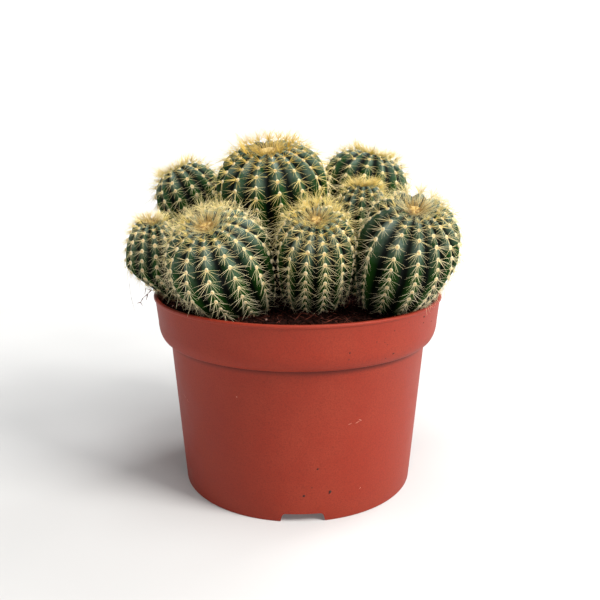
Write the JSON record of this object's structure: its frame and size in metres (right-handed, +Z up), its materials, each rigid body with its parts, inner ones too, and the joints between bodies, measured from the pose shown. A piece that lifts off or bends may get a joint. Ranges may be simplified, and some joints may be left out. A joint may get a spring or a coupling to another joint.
{
  "type": "potted cactus",
  "caption": "Cluster of round ribbed green cactus stems with golden spines, growing in a tapered terracotta-coloured plastic nursery pot.",
  "frame": {"origin": "on the pot's axis at table level, centre of the whole bounding box's base", "axes": "+Z up along the pot's axis; the plant's front, the side seen in the picture, faces -Y; +X is to the right from the front"},
  "size_m": [0.1965, 0.17, 0.202],
  "materials": {
    "pot_plastic": "injection-moulded polypropylene, matte with a fine grain, terracotta colour",
    "peat": null,
    "cactus_skin": null,
    "crown_wool": null
  },
  "bodies": {
    "root": {"pot": "pot_plastic", "potting_soil": "peat", "stem_front_left": "cactus_skin", "stem_front_centre": "cactus_skin", "stem_front_right": "cactus_skin", "stem_back_centre": "cactus_skin", "stem_back_right": "cactus_skin", "stem_mid_right": "cactus_skin", "stem_back_left": "cactus_skin", "stem_far_left": "cactus_skin", "stem_rear_left": "cactus_skin", "stem_rear_centre": "cactus_skin", "stem_rear_right": "cactus_skin", "crown_wool_front_left": "crown_wool", "crown_wool_front_centre": "crown_wool", "crown_wool_front_right": "crown_wool", "crown_wool_back_centre": "crown_wool", "crown_wool_back_right": "crown_wool", "crown_wool_mid_right": "crown_wool", "crown_wool_back_left": "crown_wool", "crown_wool_far_left": "crown_wool", "crown_wool_rear_left": "crown_wool", "crown_wool_rear_centre": "crown_wool", "crown_wool_rear_right": "crown_wool"}
  },
  "joints": []
}
